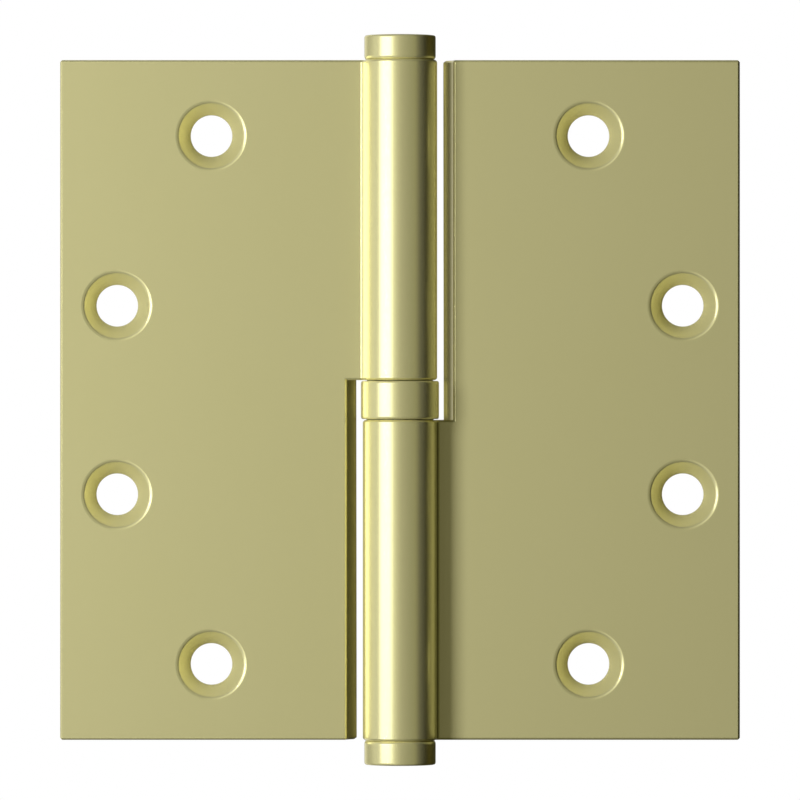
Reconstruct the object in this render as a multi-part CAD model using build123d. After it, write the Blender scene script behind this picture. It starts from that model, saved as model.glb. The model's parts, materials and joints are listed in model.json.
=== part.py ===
from build123d import *
import os
from math import floor, pi, radians, tan

# Lift-off butt hinge in solid brass, laid open flat, in millimetres.
# The pin stands along Z with the middle of the bearing at the origin.
# The frame leaf reaches along +X and the door leaf along -X; their countersunk faces look along -Y.

# Leaves
leaf_height = 114.3
open_width = 114.3
leaf_thickness = 3.4
closed_gap = 2.4
edge_bevel = 0.45
root_round = 0.5

# Notch in each leaf, cut to the knuckle's own curve, larger by a clearance and set out from the pin
notch_clearance = 0.75
notch_offset = 2.1

# Countersunk screw holes
end_hole_inset = 12.7
end_hole_reach = 31.75
middle_hole_spacing = 31.75
middle_hole_setback = 9.525
screw_hole_diameter = 7.0
countersink_diameter = 11.0
countersink_angle = 82.0
countersink_lip_width = 0.45
countersink_lip_depth = 0.2

# Pin and the knuckles around it
pin_diameter = 6.35
knuckle_wall = 3.075
socket_clearance = 0.05
socket_lead_in = 0.6
pin_end_gap = 3.0
pin_nose_length = 2.0
pin_nose_taper = 0.8
pin_foot_chamfer = 0.4

# Button tips that close the barrel
tip_step = 0.25
tip_height = 4.1
tip_bevel_width = 0.35
tip_bevel_height = 0.35
spigot_length = 6.0
spigot_chamfer = 0.4

# Ball bearing between the knuckles
bearing_height = 6.7
shell_proud = 0.3
shell_wall = 0.85
shell_bevel_width = 0.35
shell_bevel_height = 0.45
shell_end_gap = 0.15
race_clearance = 0.1
ball_diameter = 1.588
ball_clearance = 0.03
cage_thickness = 0.9
cage_pocket_clearance = 0.05
cage_web = 3.9

# Sizes that follow from the driving dimensions
leaf_half = leaf_height / 2
leaf_reach = open_width / 2
front_y = closed_gap / 2
pin_radius = pin_diameter / 2
socket_radius = pin_radius + socket_clearance
knuckle_radius = pin_radius + knuckle_wall
bearing_half = bearing_height / 2
knuckle_length = leaf_half - bearing_half
notch_radius = knuckle_radius + notch_clearance
spigot_end = leaf_half - spigot_length
shell_radius = knuckle_radius + shell_proud
shell_bore = shell_radius - shell_wall
race_inner = pin_radius + race_clearance
race_outer = shell_bore - race_clearance
race_pitch = (race_inner + race_outer) / 2
ball_radius = ball_diameter / 2
race_face = ball_radius + ball_clearance
ball_count = floor(2 * pi * race_pitch / (ball_diameter + cage_web))

from_base = (Align.CENTER, Align.CENTER, Align.MIN)


def ring(outer, inner, low, high):
    """Plain ring about the pin, between two heights."""
    body = Cylinder(outer, high - low, align=from_base)
    bore = Cylinder(inner, high - low, align=from_base)
    return Pos(0, 0, low) * (body - bore)


def bevelled_disc(radius, low, high, bevel_width, bevel_height):
    """Turned disc about the pin, between two heights, with a bevel on both rims."""
    outline = Polyline(
        (0, low),
        (radius - bevel_width, low),
        (radius, low + bevel_height),
        (radius, high - bevel_height),
        (radius - bevel_width, high),
        (0, high),
        close=True,
    )
    return revolve(Plane.XZ * make_face(outline), Axis.Z)


def plate_outline(start):
    """Cross-section of a leaf's plate, from a distance off the pin's axis out to its free edge."""
    width = leaf_reach - start
    return Pos(start + width / 2, front_y + leaf_thickness / 2) * Rectangle(width, leaf_thickness)


def knuckle_outline():
    """Cross-section of a leaf with its knuckle, with a small round where the two meet."""
    outline = Circle(knuckle_radius) + plate_outline(0)
    roots = [
        corner
        for corner in outline.vertices()
        if corner.X < leaf_reach / 2 and corner.Y > front_y / 2
    ]
    return fillet(roots, root_round)


def notch_outline():
    """Cross-section of a leaf where the notch clears the other knuckle."""
    return plate_outline(notch_offset) - Pos(notch_offset, 0) * Circle(notch_radius)


def bevelled_edges(blank):
    """Edges of a leaf blank that get a bevel: its end outlines and its free upright edges."""
    uprights = blank.edges().filter_by(Axis.Z)
    bevelled = [edge for edge in uprights if edge.center().X > leaf_reach / 2 or edge.center().Z > 0]
    for height in (-leaf_half, leaf_half):
        bevelled += blank.edges().filter_by_position(Axis.Z, height, height)
    knuckle_end = blank.edges().filter_by_position(Axis.Z, -bearing_half, -bearing_half)
    inside_corner = knuckle_end.sort_by(Axis.X)[-1]
    return bevelled + [edge for edge in knuckle_end if edge != inside_corner]


def screw_hole():
    """Countersunk hole along +Y whose mouth lies in the plane y = 0."""
    hole_radius = screw_hole_diameter / 2
    mouth_radius = countersink_diameter / 2
    depth = (mouth_radius - hole_radius) / tan(radians(countersink_angle / 2))
    shank = Cylinder(hole_radius, leaf_thickness, align=from_base)
    lip = Cone(mouth_radius + countersink_lip_width, mouth_radius, countersink_lip_depth, align=from_base)
    mouth = Pos(0, 0, countersink_lip_depth) * Cone(mouth_radius, hole_radius, depth, align=from_base)
    return Rot(X=-90) * (shank + lip + mouth)


def screw_places():
    """Hole centres of the frame leaf, as X and Z: two near the pin and two near the free edge."""
    end_height = leaf_half - end_hole_inset
    middle_height = middle_hole_spacing / 2
    middle_reach = leaf_reach - middle_hole_setback
    return [
        (end_hole_reach, -end_height),
        (middle_reach, -middle_height),
        (middle_reach, middle_height),
        (end_hole_reach, end_height),
    ]


def leaf(bore_radius):
    """One leaf with its knuckle below the bearing, bored for the pin."""
    knuckle = Pos(0, 0, -leaf_half) * extrude(knuckle_outline(), knuckle_length)
    upper = Pos(0, 0, -bearing_half) * extrude(notch_outline(), leaf_half + bearing_half)
    body = knuckle + upper
    body = chamfer(bevelled_edges(body), edge_bevel)
    for reach, height in screw_places():
        body -= Pos(reach, front_y, height) * screw_hole()
    return body - Pos(0, 0, -leaf_half) * Cylinder(bore_radius, knuckle_length, align=from_base)


def frame_leaf():
    """Leaf that stays on the door frame, with the pin fast in its knuckle."""
    return leaf(pin_radius)


def door_leaf():
    """Leaf that lifts off with the door: the same leaf turned end for end, with a running bore."""
    body = Rot(Y=180) * leaf(socket_radius)
    lead_in = Cone(socket_radius + socket_lead_in, socket_radius, socket_lead_in, align=from_base)
    return body - Pos(0, 0, bearing_half) * lead_in


def hinge_pin():
    """Straight pin from the lower tip's spigot up into the door leaf's socket."""
    length = 2 * spigot_end - pin_end_gap - pin_nose_length
    pin = Pos(0, 0, -spigot_end) * Cylinder(pin_radius, length, align=from_base)
    pin = chamfer(pin.edges().group_by(Axis.Z)[0], pin_foot_chamfer)
    nose = Cone(pin_radius, pin_radius - pin_nose_taper, pin_nose_length, align=from_base)
    return pin + Pos(0, 0, length - spigot_end) * nose


def tip(spigot_radius):
    """Button tip for the top of the barrel, with a spigot pressed into the knuckle's bore."""
    head = bevelled_disc(knuckle_radius - tip_step, 0, tip_height, tip_bevel_width, tip_bevel_height)
    spigot = Pos(0, 0, -spigot_length) * Cylinder(spigot_radius, spigot_length, align=from_base)
    spigot = chamfer(spigot.edges().group_by(Axis.Z)[0], spigot_chamfer)
    return Pos(0, 0, leaf_half) * (head + spigot)


def bearing_shell():
    """Brass collar round the bearing, short of both knuckles so that it never rubs."""
    end = bearing_half - shell_end_gap
    collar = bevelled_disc(shell_radius, -end, end, shell_bevel_width, shell_bevel_height)
    return collar - Cylinder(shell_bore, 2 * end)


def lower_race():
    """Hardened flat race pressed into the shell, seated on the frame leaf's knuckle."""
    return ring(shell_bore, race_inner, -bearing_half, -race_face)


def upper_race():
    """Hardened flat race that turns with the door leaf, whose knuckle stands on it."""
    return ring(race_outer, race_inner, race_face, bearing_half)


def bearing_balls():
    """Steel balls, spread evenly round the races."""
    places = PolarLocations(race_pitch, ball_count)
    return Compound(children=[place * Sphere(ball_radius) for place in places])


def ball_cage():
    """Flat cage that keeps the balls apart."""
    cage = ring(race_outer, race_inner, -cage_thickness / 2, cage_thickness / 2)
    for place in PolarLocations(race_pitch, ball_count):
        cage -= place * Cylinder(ball_radius + cage_pocket_clearance, cage_thickness)
    return cage


sub_parts = {
    "frame_leaf": frame_leaf(),
    "door_leaf": door_leaf(),
    "hinge_pin": hinge_pin(),
    "top_tip": tip(socket_radius),
    "bottom_tip": Rot(Y=180) * tip(pin_radius),
    "bearing_shell": bearing_shell(),
    "lower_race": lower_race(),
    "upper_race": upper_race(),
    "bearing_balls": bearing_balls(),
    "ball_cage": ball_cage(),
}

os.makedirs("parts", exist_ok=True)
for name, solid in sub_parts.items():
    export_step(solid, f"parts/{name}.step")
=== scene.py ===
"""Looks of a lift-off butt hinge: satin brass leaves and barrel, a ground steel pin and a ball bearing."""

import json
import math

import bmesh
import bpy
from mathutils import Matrix, Vector


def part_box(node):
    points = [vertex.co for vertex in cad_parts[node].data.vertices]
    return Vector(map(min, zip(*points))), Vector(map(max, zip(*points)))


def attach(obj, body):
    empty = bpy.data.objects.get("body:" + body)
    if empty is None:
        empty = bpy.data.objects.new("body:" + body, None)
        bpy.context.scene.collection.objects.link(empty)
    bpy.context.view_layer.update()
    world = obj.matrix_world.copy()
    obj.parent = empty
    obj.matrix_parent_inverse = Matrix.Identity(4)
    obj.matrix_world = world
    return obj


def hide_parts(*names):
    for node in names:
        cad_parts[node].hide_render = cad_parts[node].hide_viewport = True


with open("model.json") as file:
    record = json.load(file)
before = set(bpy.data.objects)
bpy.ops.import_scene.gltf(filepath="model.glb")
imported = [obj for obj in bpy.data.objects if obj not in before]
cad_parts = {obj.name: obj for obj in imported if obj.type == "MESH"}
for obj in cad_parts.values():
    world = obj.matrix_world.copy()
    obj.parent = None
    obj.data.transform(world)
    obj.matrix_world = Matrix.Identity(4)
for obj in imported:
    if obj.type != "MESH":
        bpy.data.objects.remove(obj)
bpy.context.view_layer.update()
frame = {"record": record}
scene = bpy.context.scene
mounts = {mount["name"]: mount for mount in frame["record"]["mounts"]}

# Sizes that the frame gives, in metres
MM = 0.001
leaf_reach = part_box("frame_leaf")[1].x
leaf_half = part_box("frame_leaf")[1].z
knuckle_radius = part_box("frame_leaf")[1].y
back_y = mounts["frame_leaf_back"]["pos_m"][1]
end_reach = mounts["frame_end_screws"]["pos_m"][0]
end_height = mounts["frame_end_screws"]["dims"]["spacing_y_mm"] * MM / 2
middle_reach = mounts["frame_middle_screws"]["pos_m"][0]
middle_height = mounts["frame_middle_screws"]["dims"]["spacing_y_mm"] * MM / 2
hole_radius = mounts["frame_end_screws"]["dims"]["hole_r_mm"] * MM
pin_low, pin_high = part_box("hinge_pin")
tip_low, tip_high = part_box("top_tip")
shell_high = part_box("bearing_shell")[1]
seat_race_low, seat_race_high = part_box("lower_race")
turning_race_low, turning_race_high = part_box("upper_race")
cage_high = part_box("ball_cage")[1]
ball_set_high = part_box("bearing_balls")[1]
bearing_half = turning_race_high.z
pin_radius = pin_high.x
ball_radius = ball_set_high.z
ball_pitch = ball_set_high.x - ball_radius

# Leaf sizes that the frame's boxes don't show
leaf_thickness = 3.4 * MM
edge_break = 0.35 * MM
edge_softness = 0.3
root_round = 0.5 * MM
notch_clearance = 0.75 * MM
notch_offset = 2.1 * MM
front_y = back_y - leaf_thickness
notch_radius = knuckle_radius + notch_clearance

# Countersunk screw holes
mouth_radius = 6.08 * MM
countersink_angle = math.radians(82)
lip_round = 0.95 * MM
lip_start = math.radians(6)
lip_overrun = 0.05 * MM
hole_edge_break = 0.2 * MM
cutter_overrun = 1.0 * MM

# Turned pieces
socket_clearance = 0.05 * MM
socket_lead_in = 0.6 * MM
pin_nose_length = 2.0 * MM
pin_nose_taper = 0.8 * MM
pin_foot_round = 0.4 * MM
tip_rim = 0.45 * MM
tip_foot_rim = 0.65 * MM
spigot_round = 0.4 * MM
shell_wall = 0.85 * MM
shell_rim_width = 0.35 * MM
shell_rim_height = 0.5 * MM
race_clearance = 0.1 * MM
race_edge_round = 0.2 * MM
cage_edge_round = 0.12 * MM
cage_pocket_clearance = 0.05 * MM
ball_count = 5

# Fineness of the meshes
barrel_sides = 144
hole_sides = 96
round_steps = 6
edge_steps = 3
cove_steps = 16
pocket_sides = 48
ball_segments = 48
ball_rings = 24
floor_sides = 96
sharp_angle = math.radians(35)
axis_weld = 0.001 * MM
seam_weld = 0.0005 * MM
level_tolerance = 0.01 * MM

# Metal surfaces
grain_strength = 0.04
grain_depth = 0.01 * MM
lacquer_roughness = 0.15

# Studio
photo_width = 134.4 * MM
lens = 400
sensor = 36
floor_drop = 900 * MM
floor_radius = 16.0
light_distance = 0.55
cap_steepness = 0.85
cap_blend = 0.6


# Materials


def linear(hex_colour):
    """Linear RGBA of an sRGB colour given as hex digits."""
    shares = [int(hex_colour[start:start + 2], 16) / 255 for start in (0, 2, 4)]
    return [s / 12.92 if s <= 0.04045 else ((s + 0.055) / 1.055) ** 2.4 for s in shares] + [1.0]


def add_node(tree, kind, inputs=None, **settings):
    """Adds a node with its settings; an input that is a socket is linked, and any other is a value."""
    node = tree.nodes.new(kind)
    for name, value in settings.items():
        setattr(node, name, value)
    for key, value in (inputs or {}).items():
        if isinstance(value, bpy.types.NodeSocket):
            tree.links.new(value, node.inputs[key])
        else:
            node.inputs[key].default_value = value
    return node


def metal(name, light, deep, metallic, roughness, spread, grain, mottle, lacquer):
    """Worked metal: fine grain in its gloss and height, and a slow drift between two colours.

    grain is the size of a mark along X, Y and Z and mottle the size of a patch, all in metres. Real marks
    are finer than the render can show, so they are drawn as coarse as they need to be seen.
    """
    material = bpy.data.materials.new(name)
    material.use_nodes = True
    tree = material.node_tree
    tree.nodes.clear()
    place = add_node(tree, "ShaderNodeTexCoord").outputs["Object"]
    stretch = add_node(
        tree,
        "ShaderNodeMapping",
        {"Vector": place, "Scale": [1 / size for size in grain]},
    )
    marks = add_node(
        tree,
        "ShaderNodeTexNoise",
        {"Vector": stretch.outputs["Vector"], "Scale": 1.0, "Detail": 3.0, "Roughness": 0.6},
    )
    patches = add_node(
        tree,
        "ShaderNodeTexNoise",
        {"Vector": place, "Scale": 1 / mottle, "Detail": 2.0},
    )
    gloss = add_node(
        tree,
        "ShaderNodeMapRange",
        {
            "Value": marks.outputs["Fac"],
            "From Min": 0.3,
            "From Max": 0.7,
            "To Min": roughness - spread,
            "To Max": roughness + spread,
        },
    )
    colour = add_node(
        tree,
        "ShaderNodeMix",
        {"Factor": patches.outputs["Fac"], "A": linear(light), "B": linear(deep)},
        data_type="RGBA",
    )
    height = add_node(
        tree,
        "ShaderNodeBump",
        {"Height": marks.outputs["Fac"], "Strength": grain_strength, "Distance": grain_depth},
    )
    surface = add_node(
        tree,
        "ShaderNodeBsdfPrincipled",
        {
            "Base Color": colour.outputs["Result"],
            "Metallic": metallic,
            "Roughness": gloss.outputs["Result"],
            "Normal": height.outputs["Normal"],
            "Coat Weight": lacquer,
            "Coat Roughness": lacquer_roughness,
        },
    )
    add_node(tree, "ShaderNodeOutputMaterial", {"Surface": surface.outputs["BSDF"]})
    return material


# Brass, milled, buffed upright to a satin and lacquered: pale greenish gold with broad, soft reflections
satin_brass = metal(
    "satin_brass",
    light="F3EDB2",
    deep="F2ECAE",
    metallic=0.8,
    roughness=0.25,
    spread=0.01,
    grain=(0.18 * MM, 0.18 * MM, 9 * MM),
    mottle=22 * MM,
    lacquer=1.0,
)

# Brass strip, stamped and left as pressed: a deeper yellow, duller than the leaves
stamped_brass = metal(
    "stamped_brass",
    light="E3CC82",
    deep="D3B766",
    metallic=1.0,
    roughness=0.34,
    spread=0.06,
    grain=(0.3 * MM, 0.3 * MM, 0.3 * MM),
    mottle=3 * MM,
    lacquer=0.0,
)

# Steel bar, centreless ground: fine rings round the pin, bright and a little grey
ground_steel = metal(
    "ground_steel",
    light="C9CACC",
    deep="B8B9BB",
    metallic=1.0,
    roughness=0.24,
    spread=0.05,
    grain=(3 * MM, 3 * MM, 0.12 * MM),
    mottle=9 * MM,
    lacquer=0.0,
)

# Bearing steel, hardened, lapped and polished: near mirror, with a faint cool cast
bearing_steel = metal(
    "bearing_steel",
    light="D6D8DB",
    deep="CACDD1",
    metallic=1.0,
    roughness=0.12,
    spread=0.02,
    grain=(0.25 * MM, 0.25 * MM, 0.25 * MM),
    mottle=4 * MM,
    lacquer=0.0,
)


# Meshes


def new_geometry_tree(name, inputs):
    """Starts a geometry tree that takes a mesh and named inputs; returns it with its input sockets."""
    tree = bpy.data.node_groups.new(name, "GeometryNodeTree")
    tree.interface.new_socket("Geometry", in_out="OUTPUT", socket_type="NodeSocketGeometry")
    tree.interface.new_socket("Geometry", in_out="INPUT", socket_type="NodeSocketGeometry")
    for socket_name, kind in inputs.items():
        tree.interface.new_socket(socket_name, in_out="INPUT", socket_type="NodeSocket" + kind)
    tree.interface.new_socket("Material", in_out="INPUT", socket_type="NodeSocketMaterial")
    return tree, add_node(tree, "NodeGroupInput").outputs


def close_geometry_tree(tree, geometry, given):
    """Ends a geometry tree: instances become mesh, and the mesh takes its material."""
    real = add_node(tree, "GeometryNodeRealizeInstances", {"Geometry": geometry})
    dressed = add_node(
        tree,
        "GeometryNodeSetMaterial",
        {"Geometry": real.outputs["Geometry"], "Material": given["Material"]},
    )
    add_node(tree, "NodeGroupOutput", {"Geometry": dressed.outputs["Geometry"]})
    return tree


def turned_tree():
    """Spins an outline about Z: its X is the distance outside the path, and its Y the depth below zero."""
    tree, given = new_geometry_tree("turned", {"Path Radius": "Float", "Sides": "Int"})
    outline = add_node(tree, "GeometryNodeMeshToCurve", {"Mesh": given["Geometry"]})
    path = add_node(
        tree,
        "GeometryNodeCurvePrimitiveCircle",
        {"Resolution": given["Sides"], "Radius": given["Path Radius"]},
    )
    swept = add_node(
        tree,
        "GeometryNodeCurveToMesh",
        {"Curve": path.outputs["Curve"], "Profile Curve": outline.outputs["Curve"]},
    )
    joined = add_node(
        tree,
        "GeometryNodeMergeByDistance",
        {"Geometry": swept.outputs["Mesh"], "Distance": axis_weld},
    )
    return close_geometry_tree(tree, joined.outputs["Geometry"], given)


def drilled_tree():
    """Cuts a bore and two upright pairs of screw holes out of a leaf."""
    tree, given = new_geometry_tree(
        "drilled_leaf",
        {
            "Hole Cutter": "Object",
            "Bore Cutter": "Object",
            "Front": "Float",
            "End Reach": "Float",
            "End Height": "Float",
            "Middle Reach": "Float",
            "Middle Height": "Float",
        },
    )
    hole = add_node(tree, "GeometryNodeObjectInfo", {"Object": given["Hole Cutter"]})
    bore = add_node(tree, "GeometryNodeObjectInfo", {"Object": given["Bore Cutter"]})
    cutters = add_node(tree, "GeometryNodeJoinGeometry")
    for pair in ("End", "Middle"):
        low = add_node(
            tree,
            "ShaderNodeMath",
            {0: given[pair + " Height"], 1: -1.0},
            operation="MULTIPLY",
        )
        start = add_node(
            tree,
            "ShaderNodeCombineXYZ",
            {"X": given[pair + " Reach"], "Y": given["Front"], "Z": low.outputs[0]},
        )
        end = add_node(
            tree,
            "ShaderNodeCombineXYZ",
            {"X": given[pair + " Reach"], "Y": given["Front"], "Z": given[pair + " Height"]},
        )
        places = add_node(
            tree,
            "GeometryNodeMeshLine",
            {"Count": 2, "Start Location": start.outputs[0], "Offset": end.outputs[0]},
            mode="END_POINTS",
        )
        holes = add_node(
            tree,
            "GeometryNodeInstanceOnPoints",
            {
                "Points": places.outputs["Mesh"],
                "Instance": hole.outputs["Geometry"],
                "Rotation": (-math.pi / 2, 0, 0),
            },
        )
        real = add_node(tree, "GeometryNodeRealizeInstances", {"Geometry": holes.outputs["Instances"]})
        tree.links.new(real.outputs["Geometry"], cutters.inputs["Geometry"])
    tree.links.new(bore.outputs["Geometry"], cutters.inputs["Geometry"])
    cut = add_node(
        tree,
        "GeometryNodeMeshBoolean",
        {"Mesh 1": given["Geometry"], "Mesh 2": cutters.outputs["Geometry"]},
        operation="DIFFERENCE",
        solver="EXACT",
    )
    return close_geometry_tree(tree, cut.outputs["Mesh"], given)


def ball_ring_tree():
    """Balls spread evenly round a circle."""
    tree, given = new_geometry_tree(
        "ball_ring",
        {"Count": "Int", "Pitch Radius": "Float", "Ball Radius": "Float"},
    )
    places = add_node(
        tree,
        "GeometryNodeMeshCircle",
        {"Vertices": given["Count"], "Radius": given["Pitch Radius"]},
    )
    ball = add_node(
        tree,
        "GeometryNodeMeshUVSphere",
        {"Segments": ball_segments, "Rings": ball_rings, "Radius": given["Ball Radius"]},
    )
    balls = add_node(
        tree,
        "GeometryNodeInstanceOnPoints",
        {"Points": places.outputs["Mesh"], "Instance": ball.outputs["Mesh"]},
    )
    return close_geometry_tree(tree, balls.outputs["Instances"], given)


def pocketed_tree():
    """Cuts round pockets, spread evenly round a circle, out of a flat ring."""
    tree, given = new_geometry_tree(
        "pocketed_ring",
        {"Count": "Int", "Pitch Radius": "Float", "Pocket Radius": "Float", "Depth": "Float"},
    )
    places = add_node(
        tree,
        "GeometryNodeMeshCircle",
        {"Vertices": given["Count"], "Radius": given["Pitch Radius"]},
    )
    pocket = add_node(
        tree,
        "GeometryNodeMeshCylinder",
        {"Vertices": pocket_sides, "Radius": given["Pocket Radius"], "Depth": given["Depth"]},
    )
    pockets = add_node(
        tree,
        "GeometryNodeInstanceOnPoints",
        {"Points": places.outputs["Mesh"], "Instance": pocket.outputs["Mesh"]},
    )
    real = add_node(tree, "GeometryNodeRealizeInstances", {"Geometry": pockets.outputs["Instances"]})
    cut = add_node(
        tree,
        "GeometryNodeMeshBoolean",
        {"Mesh 1": given["Geometry"], "Mesh 2": real.outputs["Geometry"]},
        operation="DIFFERENCE",
        solver="EXACT",
    )
    return close_geometry_tree(tree, cut.outputs["Mesh"], given)


turned = turned_tree()
drilled_leaf = drilled_tree()
ball_ring = ball_ring_tree()
pocketed_ring = pocketed_tree()


def grow(mesh, tree, values):
    """Runs a geometry tree on a mesh and returns the plain mesh that it makes, with its faces outwards."""
    holder = bpy.data.objects.new("holder", mesh)
    scene.collection.objects.link(holder)
    modifier = holder.modifiers.new("tree", "NODES")
    modifier.node_group = tree
    for socket in tree.interface.items_tree:
        if socket.name in values:
            modifier[socket.identifier] = values[socket.name]
    grown = bpy.data.meshes.new_from_object(holder.evaluated_get(bpy.context.evaluated_depsgraph_get()))
    bpy.data.objects.remove(holder)
    bm = bmesh.new()
    bm.from_mesh(grown)
    bmesh.ops.remove_doubles(bm, verts=bm.verts, dist=seam_weld)
    bmesh.ops.recalc_face_normals(bm, faces=bm.faces)
    bm.to_mesh(grown)
    bm.free()
    return grown


def eased(corners):
    """Outline through corners: each is a reach, a height and how long its round is before and after it."""
    points = []
    for index, (reach, height, before, after) in enumerate(corners):
        here = Vector((reach, height))
        if not before:
            points.append(here)
            continue
        last = Vector(corners[index - 1][:2])
        following = Vector(corners[(index + 1) % len(corners)][:2])
        start = here + (last - here).normalized() * before
        end = here + (following - here).normalized() * after
        for step in range(round_steps + 1):
            share = step / round_steps
            points.append(start.lerp(here, share).lerp(here.lerp(end, share), share))
    return points


def turn(corners, material, closed=False, sides=barrel_sides):
    """Turned mesh about Z from the corners of its outline: closed for a ring, or from axis to axis."""
    points = eased(corners)
    edges = [(index, index + 1) for index in range(len(points) - 1)]
    if closed:
        edges.append((len(points) - 1, 0))
    outline = bpy.data.meshes.new("outline")
    outline.from_pydata([(reach - pin_radius, -height, 0) for reach, height in points], edges, [])
    return grow(outline, turned, {"Path Radius": pin_radius, "Sides": sides, "Material": material})


def ring(outer, inner, low, high, round_off, material):
    """Plain turned ring with its edges broken."""
    corners = [(inner, low), (outer, low), (outer, high), (inner, high)]
    rounded = [(reach, height, round_off, round_off) for reach, height in corners]
    return turn(rounded, material, closed=True)


def arc(centre_x, centre_y, radius, start, end, steps):
    """Points along an arc, with both its ends."""
    turns = [start + (end - start) * step / steps for step in range(steps + 1)]
    return [(centre_x + radius * math.cos(angle), centre_y + radius * math.sin(angle)) for angle in turns]


def barrel_outline():
    """Knuckle's outline from the leaf's back round to its front, with a small round at both roots."""
    reach = knuckle_radius + root_round
    back_centre = Vector((math.sqrt(reach**2 - (back_y + root_round) ** 2), back_y + root_round))
    front_centre = Vector((math.sqrt(reach**2 - (front_y - root_round) ** 2), front_y - root_round))
    back_turn = math.atan2(back_centre.y, back_centre.x)
    front_turn = math.atan2(front_centre.y, front_centre.x)
    back_root = arc(*back_centre, root_round, 1.5 * math.pi, math.pi + back_turn, round_steps)
    barrel = arc(0, 0, knuckle_radius, back_turn, 2 * math.pi + front_turn, barrel_sides)
    front_root = arc(*front_centre, root_round, math.pi + front_turn, 0.5 * math.pi, round_steps)
    return back_root + barrel[1:-1] + front_root


def cove_outline():
    """Notch's curve from the leaf's back to its front, with both its ends."""
    back_turn = math.asin(back_y / notch_radius)
    front_turn = math.asin(front_y / notch_radius)
    return arc(notch_offset, 0, notch_radius, back_turn, front_turn, cove_steps)


def leaf_blank():
    """Frame leaf before drilling: a plate with its knuckle below and its notch above, all edges rounded."""
    barrel = barrel_outline()
    cove = cove_outline()
    plate = [cove[-1], (leaf_reach, front_y), (leaf_reach, back_y), cove[0]]
    bm = bmesh.new()
    foot = [bm.verts.new((x, y, -leaf_half)) for x, y in plate + barrel]
    step = [bm.verts.new((x, y, -bearing_half)) for x, y in plate + barrel]
    cove_foot = [bm.verts.new((x, y, -bearing_half)) for x, y in cove[1:-1]]
    head = [bm.verts.new((x, y, leaf_half)) for x, y in plate + cove[1:-1]]
    notch_foot = step[:4] + cove_foot
    for lower, upper in ((foot, step), (notch_foot, head)):
        for index in range(len(lower)):
            last = index - 1
            bm.faces.new((lower[last], lower[index], upper[index], upper[last]))
    bm.faces.new(list(reversed(foot)))
    bm.faces.new(head)
    bm.faces.new(step[3:] + [step[0]] + list(reversed(cove_foot)))
    seams = [bm.edges.get((step[index], step[index + 1])) for index in range(3)]
    bmesh.ops.dissolve_edges(bm, edges=seams, use_verts=True)
    inside_corner = set(cove_foot)
    sharp = []
    for edge in bm.edges:
        first, second = edge.verts
        level = abs(first.co.z - second.co.z) < level_tolerance
        free = first.co.x > end_reach or first in notch_foot and second in head
        corner = level and (first in inside_corner or second in inside_corner)
        if not corner and (level or free):
            sharp.append(edge)
    bmesh.ops.bevel(
        bm,
        geom=sharp,
        offset=edge_break,
        offset_type="OFFSET",
        segments=edge_steps,
        profile=edge_softness,
        affect="EDGES",
        clamp_overlap=False,
    )
    bmesh.ops.recalc_face_normals(bm, faces=bm.faces)
    mesh = bpy.data.meshes.new("leaf_blank")
    bm.to_mesh(mesh)
    bm.free()
    return mesh


def hole_cutter():
    """Cutter of a countersunk hole along Z: the front face is at zero, and the mouth has a rounded lip."""
    slope = math.pi / 2 - countersink_angle / 2
    lip = []
    for step in range(round_steps + 1):
        angle = lip_start + (slope - lip_start) * step / round_steps
        lip.append((mouth_radius - lip_round * math.sin(angle), lip_round * (1 - math.cos(angle))))
    throat = lip[-1][1] + (lip[-1][0] - hole_radius) / math.tan(countersink_angle / 2)
    rise = lip[0][1] + lip_overrun
    wide = lip[0][0] + rise / math.tan(lip_start)
    points = [(0, -cutter_overrun), (wide, -cutter_overrun), (wide, -lip_overrun)] + lip
    points.append((hole_radius, throat))
    points.append((hole_radius, leaf_thickness - hole_edge_break))
    points.append((hole_radius + hole_edge_break + cutter_overrun, leaf_thickness + cutter_overrun))
    points.append((0, leaf_thickness + cutter_overrun))
    return turn([(reach, height, 0, 0) for reach, height in points], satin_brass, sides=hole_sides)


def bore_cutter(radius, lead_in):
    """Cutter of a knuckle's bore, widened where it meets the bearing."""
    top = cutter_overrun - bearing_half
    points = [(0, -leaf_half - cutter_overrun), (radius, -leaf_half - cutter_overrun)]
    points.append((radius, -bearing_half - lead_in))
    points.append((radius + lead_in + cutter_overrun, top))
    points.append((0, top))
    return turn([(reach, height, 0, 0) for reach, height in points], satin_brass)


def leaf(bore_radius, lead_in):
    """Leaf as it stands on the frame side: knuckle below, reaching along +X."""
    cutters = []
    for mesh in (hole_cutter(), bore_cutter(bore_radius, lead_in)):
        cutters.append(bpy.data.objects.new("cutter", mesh))
        scene.collection.objects.link(cutters[-1])
    mesh = grow(
        leaf_blank(),
        drilled_leaf,
        {
            "Hole Cutter": cutters[0],
            "Bore Cutter": cutters[1],
            "Front": front_y,
            "End Reach": end_reach,
            "End Height": end_height,
            "Middle Reach": middle_reach,
            "Middle Height": middle_height,
            "Material": satin_brass,
        },
    )
    for cutter in cutters:
        bpy.data.objects.remove(cutter)
    return mesh


def tip(spigot_radius):
    """Button tip for the top of the barrel, with its spigot."""
    head = tip_high.x
    corners = [
        (0, tip_low.z, 0, 0),
        (spigot_radius, tip_low.z, spigot_round, spigot_round),
        (spigot_radius, leaf_half, 0, 0),
        (head, leaf_half, tip_foot_rim, tip_foot_rim),
        (head, tip_high.z, tip_rim, tip_rim),
        (0, tip_high.z, 0, 0),
    ]
    return turn(corners, satin_brass)


def bearing_shell():
    """Collar round the bearing, with soft outer rims."""
    outer = shell_high.x
    inner = outer - shell_wall
    end = shell_high.z
    corners = [
        (inner, -end, race_edge_round, race_edge_round),
        (outer, -end, shell_rim_width, shell_rim_height),
        (outer, end, shell_rim_height, shell_rim_width),
        (inner, end, race_edge_round, race_edge_round),
    ]
    return turn(corners, satin_brass, closed=True)


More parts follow.
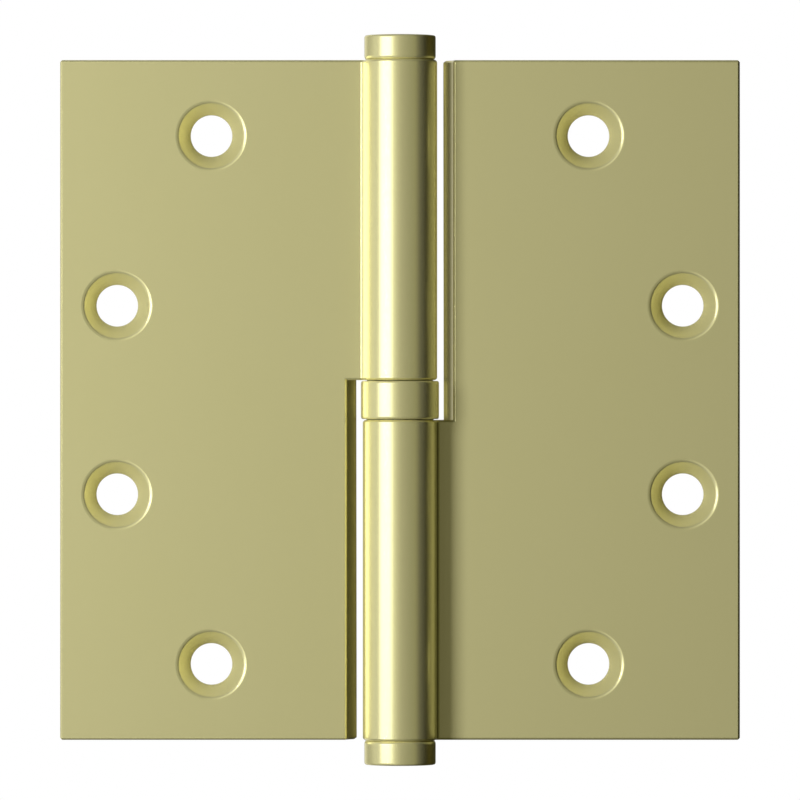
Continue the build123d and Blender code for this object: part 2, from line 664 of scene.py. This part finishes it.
def hinge_pin():
    """Pin with a broken foot and a tapered nose."""
    corners = [
        (0, pin_low.z, 0, 0),
        (pin_radius, pin_low.z, pin_foot_round, pin_foot_round),
        (pin_radius, pin_high.z - pin_nose_length, pin_nose_taper, pin_nose_taper),
        (pin_radius - pin_nose_taper, pin_high.z, pin_nose_taper, pin_nose_taper),
        (0, pin_high.z, 0, 0),
    ]
    return turn(corners, ground_steel)


def ball_cage():
    """Flat ring with a round pocket for each ball."""
    blank = ring(
        cage_high.x,
        pin_radius + race_clearance,
        -cage_high.z,
        cage_high.z,
        cage_edge_round,
        stamped_brass,
    )
    values = {
        "Count": ball_count,
        "Pitch Radius": ball_pitch,
        "Pocket Radius": ball_radius + cage_pocket_clearance,
        "Depth": 4 * cage_high.z,
        "Material": stamped_brass,
    }
    return grow(blank, pocketed_ring, values)


def bearing_balls():
    """Balls of the thrust bearing."""
    values = {
        "Count": ball_count,
        "Pitch Radius": ball_pitch,
        "Ball Radius": ball_radius,
        "Material": bearing_steel,
    }
    return grow(bpy.data.meshes.new("empty"), ball_ring, values)


def race(low, high):
    """Flat hardened race that fills a node's box round the pin."""
    return ring(high.x, pin_radius + race_clearance, low.z, high.z, race_edge_round, bearing_steel)


def place(mesh, node, body, slot, upside_down=False):
    """Makes a finished piece of a mesh, in place of a CAD node and riding on its body."""
    if upside_down:
        mesh.transform(Matrix.Rotation(math.pi, 4, "Y"))
    for polygon in mesh.polygons:
        polygon.use_smooth = True
    mesh.set_sharp_from_angle(angle=sharp_angle)
    piece = bpy.data.objects.new("dressed_" + node, mesh)
    scene.collection.objects.link(piece)
    normals = piece.modifiers.new("flat faces", "WEIGHTED_NORMAL")
    normals.keep_sharp = True
    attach(piece, body)
    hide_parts(node)


socket_radius = pin_radius + socket_clearance
place(leaf(pin_radius, 0), "frame_leaf", "frame_side", "brass")
place(leaf(socket_radius, socket_lead_in), "door_leaf", "door_side", "brass", upside_down=True)
place(tip(socket_radius), "top_tip", "door_side", "brass")
place(tip(pin_radius), "bottom_tip", "frame_side", "brass", upside_down=True)
place(bearing_shell(), "bearing_shell", "frame_side", "brass")
place(hinge_pin(), "hinge_pin", "frame_side", "pin_steel")
place(race(seat_race_low, seat_race_high), "lower_race", "frame_side", "bearing_steel")
place(race(turning_race_low, turning_race_high), "upper_race", "turning_race", "bearing_steel")
place(bearing_balls(), "bearing_balls", "ball_set", "bearing_steel")
place(ball_cage(), "ball_cage", "ball_set", "cage_brass")


# Studio


def add_floor():
    """Pale floor, well below the hinge, which hangs in the air; it is a backdrop, so nothing mirrors it."""
    # Opal acrylic, frosted and lit from below: an even white in which no lamp or shadow shows
    material = bpy.data.materials.new("opal_acrylic")
    material.use_nodes = True
    surface = material.node_tree.nodes["Principled BSDF"]
    surface.inputs["Base Color"].default_value = linear("303030")
    surface.inputs["Roughness"].default_value = 0.9
    surface.inputs["Emission Color"].default_value = linear("FFFFFF")
    surface.inputs["Emission Strength"].default_value = 1.0
    mesh = bpy.data.meshes.new("floor")
    bm = bmesh.new()
    bmesh.ops.create_circle(bm, cap_ends=True, segments=floor_sides, radius=floor_radius)
    bm.to_mesh(mesh)
    bm.free()
    mesh.materials.append(material)
    mesh.transform(Matrix.Translation((0, 0, -floor_drop)))
    floor = bpy.data.objects.new("floor", mesh)
    floor.visible_diffuse = False
    floor.visible_glossy = False
    scene.collection.objects.link(floor)


def add_surroundings():
    """Studio walls by compass direction: mirrored by metal, dim to matt surfaces and white to the eye."""
    walls = [
        (-180, "7A786C"),
        (-160, "D6D4C8"),
        (-150, "CFCBB8"),
        (-125, "504E46"),
        (-105, "5A584E"),
        (-90, "8E8E88"),
        (-75, "82827F"),
        (-40, "8B8B8A"),
        (-20, "ACAC9E"),
        (0, "656353"),
        (20, "595740"),
        (35, "5C5D44"),
        (50, "6C6A46"),
        (62, "1C1A0A"),
        (75, "0A0900"),
        (90, "0C0B02"),
        (110, "443E1E"),
        (135, "302E18"),
        (158, "3A3828"),
        (180, "7A786C"),
    ]
    world = bpy.data.worlds.new("studio")
    scene.world = world
    world.use_nodes = True
    tree = world.node_tree
    tree.nodes.clear()
    direction = add_node(tree, "ShaderNodeTexCoord").outputs["Generated"]
    parts = add_node(tree, "ShaderNodeSeparateXYZ", {"Vector": direction})
    towards_camera = add_node(
        tree,
        "ShaderNodeMath",
        {0: parts.outputs["Y"], 1: -1.0},
        operation="MULTIPLY",
    )
    compass = add_node(
        tree,
        "ShaderNodeMath",
        {0: parts.outputs["X"], 1: towards_camera.outputs[0]},
        operation="ARCTAN2",
    )
    share = add_node(
        tree,
        "ShaderNodeMapRange",
        {"Value": compass.outputs[0], "From Min": -math.pi, "From Max": math.pi},
    )
    ramp = add_node(tree, "ShaderNodeValToRGB", {"Fac": share.outputs["Result"]})
    stops = ramp.color_ramp.elements
    for stop, (angle, colour) in zip(list(stops), (walls[0], walls[-1])):
        stop.position = angle / 360 + 0.5
        stop.color = linear(colour)
    for angle, colour in walls[1:-1]:
        stops.new(angle / 360 + 0.5).color = linear(colour)
    mirrored = ramp.outputs["Color"]
    for steep, colour in ((cap_steepness, "46442F"), (-cap_steepness, "42412A")):
        reach = add_node(
            tree,
            "ShaderNodeMapRange",
            {"Value": parts.outputs["Z"], "From Min": cap_blend * steep, "From Max": steep},
        )
        capped = add_node(
            tree,
            "ShaderNodeMix",
            {"Factor": reach.outputs["Result"], "A": mirrored, "B": linear(colour)},
            data_type="RGBA",
        )
        mirrored = capped.outputs["Result"]
    path = add_node(tree, "ShaderNodeLightPath").outputs
    matt = add_node(
        tree,
        "ShaderNodeMix",
        {"Factor": path["Is Diffuse Ray"], "A": mirrored, "B": linear("3C3A22")},
        data_type="RGBA",
    )
    seen = add_node(
        tree,
        "ShaderNodeMix",
        {"Factor": path["Is Camera Ray"], "A": matt.outputs["Result"], "B": linear("FFFFFF")},
        data_type="RGBA",
    )
    background = add_node(
        tree,
        "ShaderNodeBackground",
        {"Color": seen.outputs["Result"], "Strength": 1.0},
    )
    add_node(tree, "ShaderNodeOutputWorld", {"Surface": background.outputs[0]})


def add_softbox(name, azimuth, elevation, width, height, radiance, mirrored):
    """Flat softbox that faces the hinge: mirrored in it, or giving soft light. Azimuth is to the right."""
    light = bpy.data.lights.new(name, "AREA")
    light.shape = "RECTANGLE"
    light.size = width
    light.size_y = height
    light.energy = radiance * math.pi * width * height
    softbox = bpy.data.objects.new(name, light)
    side, rise = math.radians(azimuth), math.radians(elevation)
    away = Vector((math.sin(side) * math.cos(rise), -math.cos(side) * math.cos(rise), math.sin(rise)))
    softbox.location = away * light_distance
    softbox.rotation_euler = away.to_track_quat("Z", "Y").to_euler()
    softbox.visible_camera = False
    softbox.visible_diffuse = not mirrored
    softbox.visible_glossy = mirrored
    scene.collection.objects.link(softbox)


def add_camera():
    """Long lens, square on to the open leaves and level with the bearing."""
    data = bpy.data.cameras.new("camera")
    data.lens = lens
    data.sensor_width = sensor
    camera = bpy.data.objects.new("camera", data)
    camera.location = (0, -photo_width * lens / sensor, 0)
    camera.rotation_euler = (math.pi / 2, 0, 0)
    scene.collection.objects.link(camera)
    scene.camera = camera


add_floor()
add_surroundings()
add_softbox("key", azimuth=-42, elevation=8, width=0.15, height=0.24, radiance=68, mirrored=False)
add_softbox("back light", azimuth=178, elevation=40, width=0.3, height=0.3, radiance=24, mirrored=False)
add_softbox("softbox", azimuth=-45.5, elevation=2.8, width=0.37, height=0.266, radiance=1.28, mirrored=True)
add_softbox(
    "softbox edge", azimuth=-44.5, elevation=2.8, width=0.48, height=0.31, radiance=0.44, mirrored=True
)
add_camera()
scene.view_settings.view_transform = "Standard"
